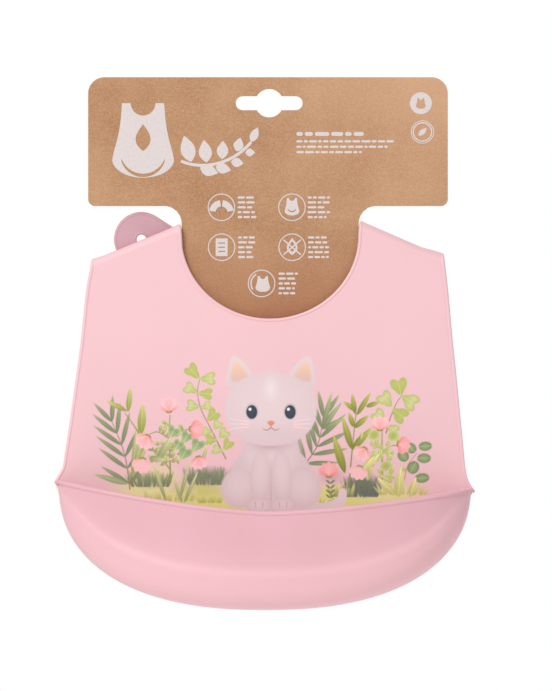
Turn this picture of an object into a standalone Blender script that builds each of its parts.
"""Silicone feeding bib with a deep catch pocket, folded on its kraft header card.

The bib stands upright: +Z up, the front faces -Y. The origin is the centre of the neck opening,
at mid thickness of the front panel. Every dimension below is in millimetres.
"""

import math

import bmesh
import bpy
from mathutils import Vector

MM = 0.001
GAP = 0.3

# Front panel
PANEL_HALF = 0.9
BEAD_HALF = 1.3
BEAD_WIDTH = 2.8
NECK_HALF_WIDTH = 44.2
NECK_DEPTH = 41.75
BACK_FALL = 0.1
REST_SQUARE = [(-45.0, -150.0), (45.0, -150.0), (45.0, -75.0), (-45.0, -75.0)]

# Shoulder fold lines, as the top edge of each fold: neck end, outer end
RIGHT_FOLD = ((46.0, 6.85), (84.5, -8.4))
LEFT_FOLD = ((-45.5, 5.25), (-85.0, -11.0))

# Side edges of the panel, from the shoulder down to the pocket corner
LEFT_SIDE = [(-88.9, -11.8), (-90.4, -17.0), (-92.6, -33.0), (-94.6, -53.0), (-97.6, -75.0),
             (-100.4, -95.0), (-102.6, -109.0), (-103.6, -115.5), (-105.8, -119.9), (-108.1, -123.3)]
RIGHT_SIDE = [(102.8, -128.0), (100.8, -125.6), (98.8, -121.6), (97.6, -115.5), (96.6, -105.0),
              (95.0, -89.0), (93.2, -70.0), (91.2, -51.0), (89.4, -31.0), (87.6, -14.0), (86.3, -9.6)]

# Catch pocket, a scoop with a superelliptic outline
POCKET_CENTRE_X = -2.5
POCKET_TOP = -124.0
POCKET_HALF_WIDTH = 103.0
POCKET_DROP = 62.5
OUTLINE_POWER = 2.35
POCKET_DEPTH = 38.0
POCKET_WALL = 1.8
BOTTOM_RADIUS = 14.0
WALL_FLARE = 0.93
RIM_SAG = 13.0
RIM_BEAD = 1.35
RIM_SPAN_DEG = 74.0

# Layers behind the panel
CARD_Y = (2.4, 2.9)
PEG_STRAP_Y = (4.2, 5.8)
HOLE_STRAP_Y = (6.8, 8.4)

# Straps: both lie on one ring when they are buttoned behind the card
RING_CENTRE = (-1.87, 62.86)
RING_RADIUS = 88.5
STRAP_HALF_WIDTH = 13.75
HOLE_STRAP_TIP = (-64.5, -2.0)
HOLE_STRAP_END_LENGTH = 17.2
END_ANGLE_DEG = -33.0
HOLE_COUNT = 8
HOLE_PITCH = 10.0
HOLE_RADIUS = 2.35
RING_RISE = 0.35
STRAP_BEAD = 0.3
PEG_STEM_RADIUS = 1.7
PEG_HEAD_RADIUS = 3.3

# Header card
HEADER = (-91.0, 89.0, 14.5, 79.0)
TONGUE = (-44.25, 44.4, -53.5)
SLOT_CENTRE = (-0.4, 66.0)
SLOT_HALF_LENGTH = 16.75
SLOT_HALF_HEIGHT = 3.5
SLOT_CIRCLE_RADIUS = 7.1

COLOURS = {
    "base_silicone": (0.80, 0.50, 0.55, 1.0),
    "print": (0.93, 0.63, 0.66, 1.0),
    "kraft": (0.57, 0.34, 0.20, 1.0),
}


def polar(centre, radius, degrees):
    angle = math.radians(degrees)
    return (centre[0] + radius * math.cos(angle), centre[1] + radius * math.sin(angle))


def arc(centre, radius, start, end, steps):
    return [polar(centre, radius, start + (end - start) * i / steps) for i in range(steps + 1)]


def bezier(p0, p1, p2, p3, steps):
    points = []
    for i in range(steps + 1):
        t = i / steps
        a, b, c, d = (1 - t) ** 3, 3 * t * (1 - t) ** 2, 3 * t * t * (1 - t), t ** 3
        points.append(tuple(a * p0[k] + b * p1[k] + c * p2[k] + d * p3[k] for k in (0, 1)))
    return points


def spread(points, longest):
    """The same open line with extra points on its long stretches."""
    out = [points[0]]
    for p, q in zip(points, points[1:]):
        count = max(1, math.ceil(math.dist(p, q) / longest))
        for i in range(1, count + 1):
            out.append((p[0] + (q[0] - p[0]) * i / count, p[1] + (q[1] - p[1]) * i / count))
    return out


def inset(outline, distance):
    """A closed outline, counterclockwise from the front, moved inwards by distance."""
    moved = []
    count = len(outline)
    for i, (x, z) in enumerate(outline):
        px, pz = outline[i - 1]
        qx, qz = outline[(i + 1) % count]
        ax, az = x - px, z - pz
        bx, bz = qx - x, qz - z
        la, lb = math.hypot(ax, az), math.hypot(bx, bz)
        n1 = (-az / la, ax / la)
        n2 = (-bz / lb, bx / lb)
        share = max(0.35, 1 + n1[0] * n2[0] + n1[1] * n2[1])
        moved.append((x + distance * (n1[0] + n2[0]) / share, z + distance * (n1[1] + n2[1]) / share))
    return moved


def rounded(corners):
    """Corners given as (x, z, radius), joined with arcs that turn either way."""
    points = []
    count = len(corners)
    for i, (x, z, radius) in enumerate(corners):
        if not radius:
            points.append((x, z))
            continue
        p = Vector(corners[i - 1][:2]) - Vector((x, z))
        q = Vector(corners[(i + 1) % count][:2]) - Vector((x, z))
        p.normalize()
        q.normalize()
        half = p.angle(q) / 2
        reach = radius / math.tan(half)
        centre = Vector((x, z)) + (p + q).normalized() * radius / math.sin(half)
        a = Vector((x, z)) + p * reach - centre
        b = Vector((x, z)) + q * reach - centre
        for k in range(7):
            mixed = a.lerp(b, k / 6).normalized() * radius + centre
            points.append((mixed.x, mixed.y))
    return points


def ring_of(mesh, points):
    return [mesh.verts.new(Vector(p) * MM) for p in points]


def join_rings(mesh, rings, closed=True):
    for lower, upper in zip(rings, rings[1:]):
        count = len(lower)
        for i in range(count if closed else count - 1):
            j = (i + 1) % count
            mesh.faces.new((lower[i], lower[j], upper[j], upper[i]))


def fill_between(mesh, rings, normal):
    edges = []
    for ring in rings:
        edges += [mesh.edges.get((a, b)) for a, b in zip(ring, ring[1:] + ring[:1])]
    bmesh.ops.triangle_fill(mesh, use_beauty=True, edges=edges, normal=normal)


def finish(mesh, name, colour, roughness, sharp=35.0):
    bmesh.ops.recalc_face_normals(mesh, faces=mesh.faces)
    data = bpy.data.meshes.new(name)
    mesh.to_mesh(data)
    mesh.free()
    thing = bpy.data.objects.new(name, data)
    bpy.context.scene.collection.objects.link(thing)
    material = bpy.data.materials.new(name + "_material")
    material.use_nodes = True
    shader = material.node_tree.nodes["Principled BSDF"]
    shader.inputs["Base Color"].default_value = COLOURS[colour]
    shader.inputs["Roughness"].default_value = roughness
    data.materials.append(material)
    for face in data.polygons:
        face.use_smooth = True
    data.set_sharp_from_angle(angle=math.radians(sharp))
    return thing


def plate(name, layers, holes, colour, roughness):
    """A flat piece. The layers and each hole are closed rings of (x, y, z), from the back to the front."""
    mesh = bmesh.new()
    stacks = []
    for stack in [layers] + holes:
        rings = [ring_of(mesh, ring) for ring in stack]
        join_rings(mesh, rings)
        stacks.append(rings)
    fill_between(mesh, [rings[0] for rings in stacks], (0, 1, 0))
    fill_between(mesh, [rings[-1] for rings in stacks], (0, -1, 0))
    return finish(mesh, name, colour, roughness)


def level(outline, y):
    return [(x, y, z) for x, z in outline]


class Fold:
    """One shoulder bend: a half tube that carries the strap from the panel's plane to its own."""

    def __init__(self, line, strap_y):
        start, end = Vector(line[0]), Vector(line[1])
        self.along = (end - start).normalized()
        self.up = Vector((-self.along.y, self.along.x))
        if self.up.y < 0:
            self.up = -self.up
        self.front_y = -PANEL_HALF
        self.outer = (strap_y[1] + PANEL_HALF) / 2
        self.centre_y = (strap_y[1] - PANEL_HALF) / 2
        self.inner_front = self.outer - 2 * PANEL_HALF
        self.inner_back = self.outer - (strap_y[1] - strap_y[0])
        self.neck_end = start - self.up * self.outer
        self.outer_end = end - self.up * self.outer

    def below(self, distance, end):
        point = (self.neck_end if end == "neck" else self.outer_end) - self.up * distance
        return (point.x, point.y)


def shoulder_fold(name, fold, steps=12):
    mesh = bmesh.new()
    rings = []
    for base in (fold.neck_end, fold.outer_end):
        section = []
        for i in range(steps + 1):
            angle = math.pi * (1 - i / steps)
            section.append((fold.outer, angle))
        for i in range(steps + 1):
            angle = math.pi * i / steps
            share = i / steps
            section.append((fold.inner_back * (1 - share) + fold.inner_front * share, angle))
        points = []
        for radius, angle in section:
            spot = base + fold.up * radius * math.sin(angle)
            points.append((spot.x, fold.centre_y + radius * math.cos(angle), spot.y))
        rings.append(ring_of(mesh, points))
    join_rings(mesh, rings)
    for ring in rings:
        half = len(ring) // 2
        for i in range(half - 1):
            mesh.faces.new((ring[i], ring[i + 1], ring[-2 - i], ring[-1 - i]))
    return finish(mesh, name, "base_silicone", 0.45)


def outline_point(degrees, shrink=0.0):
    angle = math.radians(degrees)
    power = 2 / OUTLINE_POWER
    side = math.copysign(abs(math.sin(angle)) ** power, math.sin(angle))
    drop = max(0.0, math.cos(angle)) ** power
    return (POCKET_CENTRE_X + (POCKET_HALF_WIDTH - shrink) * side, POCKET_TOP - (POCKET_DROP - shrink) * drop)


def rim_height(x):
    share = (x - POCKET_CENTRE_X) / POCKET_HALF_WIDTH
    return POCKET_TOP - 2.0 * share - RIM_SAG * (1 - min(1.0, abs(share)) ** 1.5)


right_fold = Fold(RIGHT_FOLD, HOLE_STRAP_Y)
left_fold = Fold(LEFT_FOLD, PEG_STRAP_Y)


def panel_outline():
    neckline = []
    for i in range(37):
        angle = math.pi * i / 36
        neckline.append((NECK_HALF_WIDTH * math.cos(angle), -NECK_DEPTH * math.sin(angle)))
    bottom = [outline_point(a) for a in range(-84, 85, 4)]
    return (
        spread([right_fold.below(GAP, "outer"), right_fold.below(GAP, "neck")], 8.0)
        + neckline
        + spread([left_fold.below(GAP, "neck"), left_fold.below(GAP, "outer")], 8.0)
        + spread(LEFT_SIDE, 9.0)
        + bottom
        + spread(RIGHT_SIDE, 9.0)
    )


def front_panel():
    """The bead stands proud at the front only. The back is level in the middle and falls away to the edges."""
    edge = panel_outline()
    folded = len(spread([right_fold.below(GAP, "outer"), right_fold.below(GAP, "neck")], 8.0))
    left_start = folded + 37
    left_end = left_start + len(spread([left_fold.below(GAP, "neck"), left_fold.below(GAP, "outer")], 8.0))
    flat = set(range(folded)) | set(range(left_start, left_end))
    mesh = bmesh.new()
    rings = []
    edge_y = PANEL_HALF - BACK_FALL
    levels = [(0.45, edge_y, edge_y), (0.0, 0.45, 0.45), (0.0, -0.7, -0.45), (0.25, -1.05, -0.8),
              (0.9, -BEAD_HALF, -PANEL_HALF), (1.9, -BEAD_HALF + 0.02, -PANEL_HALF),
              (BEAD_WIDTH, -PANEL_HALF, -PANEL_HALF)]
    for depth, beaded, plain in levels:
        moved = inset(edge, depth)
        rings.append(ring_of(mesh, [(x, plain if i in flat else beaded, z) for i, (x, z) in enumerate(moved)]))
    join_rings(mesh, rings)
    rest = ring_of(mesh, [(x, PANEL_HALF, z) for x, z in REST_SQUARE])
    for a, b in zip(rest, rest[1:] + rest[:1]):
        mesh.edges.new((a, b))
    fill_between(mesh, [rings[0], rest], (0, 1, 0))
    mesh.faces.new(rest)
    fill_between(mesh, [rings[-1]], (0, -1, 0))
    return finish(mesh, "front_panel", "base_silicone", 0.45)


def front_print_layer():
    edge = inset(panel_outline(), 3.6)
    edge = [(x, max(z, POCKET_TOP - POCKET_DROP + 5.0)) for x, z in edge]
    front, back = -PANEL_HALF - GAP - 0.25, -PANEL_HALF - GAP
    return plate("front_print_layer", [level(edge, back), level(edge, front)], [], "print", 0.5)


def pocket_section(depth, z_seam, z_rim, steps=8):
    """(forward, z) from the seam at the panel, along the bottom, round the corner and up to the rim."""
    low_depth = depth * WALL_FLARE
    radius = min(BOTTOM_RADIUS, 0.85 * low_depth, 0.6 * (z_rim - z_seam))
    points = [(0.0, z_seam), (0.5 * (low_depth - radius), z_seam)]
    for k in range(steps + 1):
        angle = math.pi / 2 * k / steps
        points.append((low_depth - radius + radius * math.sin(angle), z_seam + radius * (1 - math.cos(angle))))
    wall_low = z_seam + radius
    for share in (0.33, 0.66, 1.0):
        points.append((low_depth + (depth - low_depth) * share, wall_low + (z_rim - wall_low) * share))
    return points


def catch_pocket():
    base_y = -BEAD_HALF - GAP
    mesh = bmesh.new()
    columns = [-87, -84, -81, -78, -75] + list(range(-70, 71, 7)) + [75, 78, 81, 84, 87]
    rings = []
    for degrees in columns:
        x, z_seam = outline_point(degrees)
        depth = POCKET_DEPTH * math.cos(math.radians(degrees))
        lowered = 2 * RIM_BEAD + GAP
        if abs(degrees) > 77:
            lowered *= max(0.0, (80 - abs(degrees)) / 3)
        z_rim = max(rim_height(x) - lowered, z_seam + 2.2)
        outside = pocket_section(depth, z_seam, z_rim)
        z_low = z_seam + min(POCKET_WALL, 0.4 * (z_rim - z_seam))
        inside = pocket_section(max(depth - POCKET_WALL, 0.02), z_low, z_rim)
        x_in = POCKET_CENTRE_X + (x - POCKET_CENTRE_X) * (1 - POCKET_WALL / POCKET_HALF_WIDTH)
        hollow = depth > POCKET_WALL + 0.3
        section = [(x, base_y - forward, z) for forward, z in outside]
        section += [(x_in, base_y - (forward if hollow else 0.0), z) for forward, z in reversed(inside)]
        rings.append(ring_of(mesh, section))
    join_rings(mesh, rings)
    for ring in (rings[0], rings[-1]):
        half = len(ring) // 2
        for i in range(half - 1):
            mesh.faces.new((ring[i], ring[i + 1], ring[-2 - i], ring[-1 - i]))
    bmesh.ops.dissolve_degenerate(mesh, dist=1e-7, edges=mesh.edges)
    return finish(mesh, "catch_pocket", "base_silicone", 0.42)


def pocket_rim():
    base_y = -BEAD_HALF - GAP
    mesh = bmesh.new()
    path = []
    count = 44
    for i in range(count + 1):
        degrees = RIM_SPAN_DEG * (2 * i / count - 1)
        x, _ = outline_point(degrees)
        y = base_y - POCKET_DEPTH * math.cos(math.radians(degrees)) + POCKET_WALL / 2
        path.append(Vector((x, y, rim_height(x) - RIM_BEAD)))
    rings = []
    for i, spot in enumerate(path):
        tangent = (path[min(i + 1, count)] - path[max(i - 1, 0)]).normalized()
        side = tangent.cross(Vector((0, 0, 1))).normalized()
        points = []
        for k in range(10):
            angle = 2 * math.pi * k / 10
            points.append(spot + side * RIM_BEAD * math.cos(angle) + Vector((0, 0, RIM_BEAD * math.sin(angle))))
        rings.append(ring_of(mesh, points))
    join_rings(mesh, rings)
    mesh.faces.new(rings[0])
    mesh.faces.new(rings[-1])
    return finish(mesh, "pocket_rim", "base_silicone", 0.42)


def beaded_edge(outline, back, front, plain):
    """Layers of a strap with a raised bead all round, except at the plain points of its root."""
    stack = []
    for depth, y, plain_y in ((2.2, back, back), (1.7, back + STRAP_BEAD, back), (0.6, back + STRAP_BEAD, back),
                              (0.0, back - 0.3, back - 0.3), (0.0, front + 0.3, front + 0.3),
                              (0.6, front - STRAP_BEAD, front), (1.7, front - STRAP_BEAD, front),
                              (2.2, front, front)):
        moved = inset(outline, depth)
        stack.append([(x, plain_y if i in plain else y, z) for i, (x, z) in enumerate(moved)])
    return stack


def hole_strap():
    back, front = HOLE_STRAP_Y[1], HOLE_STRAP_Y[0]
    inner, outer = RING_RADIUS - STRAP_HALF_WIDTH, RING_RADIUS + STRAP_HALF_WIDTH
    turn = 180 + END_ANGLE_DEG + 90
    edge = arc(RING_CENTRE, inner, -55.0, -90 + END_ANGLE_DEG, 14)
    tip = arc(HOLE_STRAP_TIP, STRAP_HALF_WIDTH, 90 + END_ANGLE_DEG, turn, 18)
    low = arc(RING_CENTRE, outer, -90 + END_ANGLE_DEG, -70.0, 14)
    root = right_fold.below(GAP, "outer")
    flare = bezier(low[-1], (50.0, -27.0), (75.4, -26.0), root, 9)
    free = spread(edge + tip + low + flare[1:-1], 9.0)
    root_line = spread([root, right_fold.below(GAP, "neck")], 9.0)
    outline = free + root_line
    plain = set(range(len(free), len(outline)))
    holes = []
    for i in range(HOLE_COUNT):
        centre = hole_centre(i)
        stack = []
        for radius, y in ((3.5, back), (3.3, back + RING_RISE), (2.6, back + RING_RISE), (HOLE_RADIUS, back),
                          (HOLE_RADIUS, front), (2.6, front - RING_RISE), (3.3, front - RING_RISE), (3.5, front)):
            stack.append(level(arc(centre, radius, 0, 337.5, 15), y))
        holes.append(stack)
    return plate("hole_strap", beaded_edge(outline, back, front, plain), holes, "base_silicone", 0.45)


def hole_centre(index):
    """Holes are counted from the strap's tip, along its centre line."""
    length = HOLE_PITCH * index
    if length <= HOLE_STRAP_END_LENGTH:
        return polar(HOLE_STRAP_TIP, length, END_ANGLE_DEG)
    swept = math.degrees((length - HOLE_STRAP_END_LENGTH) / RING_RADIUS)
    return polar(RING_CENTRE, RING_RADIUS, -90 + END_ANGLE_DEG + swept)


def peg_strap():
    back, front = PEG_STRAP_Y[1], PEG_STRAP_Y[0]
    inner, outer = RING_RADIUS - STRAP_HALF_WIDTH, RING_RADIUS + STRAP_HALF_WIDTH
    tip_centre = hole_centre(HOLE_COUNT - 1)
    facing = math.degrees(math.atan2(tip_centre[1] - RING_CENTRE[1], tip_centre[0] - RING_CENTRE[0]))
    root = left_fold.below(GAP, "outer")
    low = arc(RING_CENTRE, outer, -112.0, facing, 8)
    flare = bezier(root, (-77.0, -27.5), (-54.0, -26.2), low[0], 9)
    tip = arc(tip_centre, STRAP_HALF_WIDTH, facing, facing + 180, 18)
    edge = arc(RING_CENTRE, inner, facing, -123.4, 10)
    free = spread(flare[1:-1] + low[:-1] + tip + edge[1:], 9.0)
    root_line = spread([left_fold.below(GAP, "neck"), root], 9.0)
    outline = free + root_line
    plain = set(range(len(free), len(outline)))
    return plate("peg_strap", beaded_edge(outline, back, front, plain), [], "base_silicone", 0.45)


def fastening_peg(name, index):
    centre = hole_centre(index)
    start = PEG_STRAP_Y[1] + GAP
    under = HOLE_STRAP_Y[1] + RING_RISE + GAP
    profile = [(PEG_STEM_RADIUS, start), (PEG_STEM_RADIUS, under), (PEG_HEAD_RADIUS, under + 0.1),
               (PEG_HEAD_RADIUS, under + 0.7), (2.7, under + 1.5), (1.5, under + 2.1)]
    mesh = bmesh.new()
    rings = []
    for radius, y in profile:
        rings.append(ring_of(mesh, [(x, y, z) for x, z in arc(centre, radius, 0, 360 - 360 / 16, 15)]))
    join_rings(mesh, rings)
    mesh.faces.new(rings[0])
    mesh.faces.new(rings[-1])
    return finish(mesh, name, "base_silicone", 0.45)


def hang_on(name, place, pieces):
    """An empty on a joint's axis; the pieces that move together hang on it and stay where they are."""
    pivot = bpy.data.objects.new(name, None)
    pivot.empty_display_size = 10 * MM
    pivot.location = Vector(place) * MM
    bpy.context.scene.collection.objects.link(pivot)
    for thing in pieces:
        thing.parent = pivot
        thing.location = -pivot.location


def fold_centre(fold):
    return (fold.neck_end.x, fold.centre_y, fold.neck_end.y)


def slot_outline():
    cx, cz = SLOT_CENTRE
    end = SLOT_HALF_LENGTH - SLOT_HALF_HEIGHT
    neck = math.degrees(math.asin(SLOT_HALF_HEIGHT / SLOT_CIRCLE_RADIUS))
    return (
        arc((cx + end, cz), SLOT_HALF_HEIGHT, -90, 90, 8)
        + arc(SLOT_CENTRE, SLOT_CIRCLE_RADIUS, neck, 180 - neck, 10)
        + arc((cx - end, cz), SLOT_HALF_HEIGHT, 90, 270, 8)
        + arc(SLOT_CENTRE, SLOT_CIRCLE_RADIUS, 180 + neck, 360 - neck, 10)
    )


def header_card():
    left, right, low, top = HEADER
    tongue_left, tongue_right, tongue_low = TONGUE
    outline = rounded([
        (right, top, 8.0), (left, top, 8.0), (left, low, 3.5), (tongue_left, low, 8.5),
        (tongue_left, tongue_low, 12.0), (tongue_right, tongue_low, 12.0), (tongue_right, low, 8.5),
        (right, low, 3.5),
    ])
    slot = slot_outline()
    front, back = CARD_Y
    holes = [[level(slot, back), level(slot, front)]]
    return plate("header_card", [level(outline, back), level(outline, front)], holes, "kraft", 0.85)


for thing in list(bpy.data.objects):
    bpy.data.objects.remove(thing, do_unlink=True)

front_panel()
front_print_layer()
catch_pocket()
shoulder_fold("left_shoulder_fold", left_fold)
shoulder_fold("right_shoulder_fold", right_fold)
hang_on("pocket_mouth_axis", (POCKET_CENTRE_X, -BEAD_HALF - GAP, POCKET_TOP), [pocket_rim()])
hang_on("right_strap_axis", fold_centre(right_fold), [hole_strap()])
hang_on("left_strap_axis", fold_centre(left_fold), [
    peg_strap(),
    fastening_peg("outer_fastening_peg", HOLE_COUNT - 1),
    fastening_peg("inner_fastening_peg", HOLE_COUNT - 2),
])
hang_on("card_lift_axis", (0.0, CARD_Y[0], 0.0), [header_card()])
